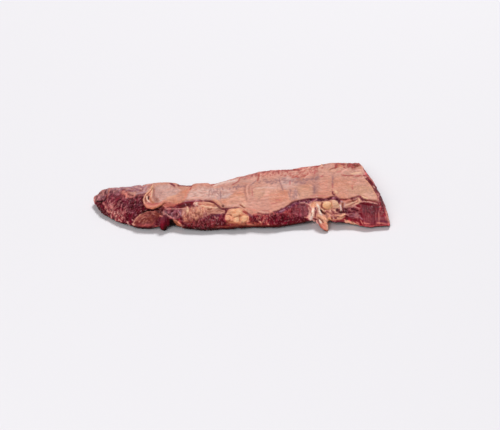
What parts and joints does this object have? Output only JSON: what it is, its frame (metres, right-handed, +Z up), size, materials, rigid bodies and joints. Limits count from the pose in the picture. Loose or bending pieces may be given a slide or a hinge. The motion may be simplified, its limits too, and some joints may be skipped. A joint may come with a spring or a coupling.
{
  "type": "skirt steak",
  "caption": "Raw skirt steak lying flat: a long slab of beef with a rounded nose, a knife-cut end, silverskin on top and soft lumps of fat along the front flank.",
  "frame": {"origin": "middle of the bounding box's underside, on the surface that the steak lies on", "axes": "+X from the rounded nose to the knife-cut end, +Y to the far side, +Z up through the thickness"},
  "size_m": [0.2734, 0.1254, 0.0229],
  "materials": {
    "raw_beef": "moist, semi-gloss"
  },
  "bodies": {
    "root": {"skirt_steak": "raw_beef"}
  },
  "joints": []
}
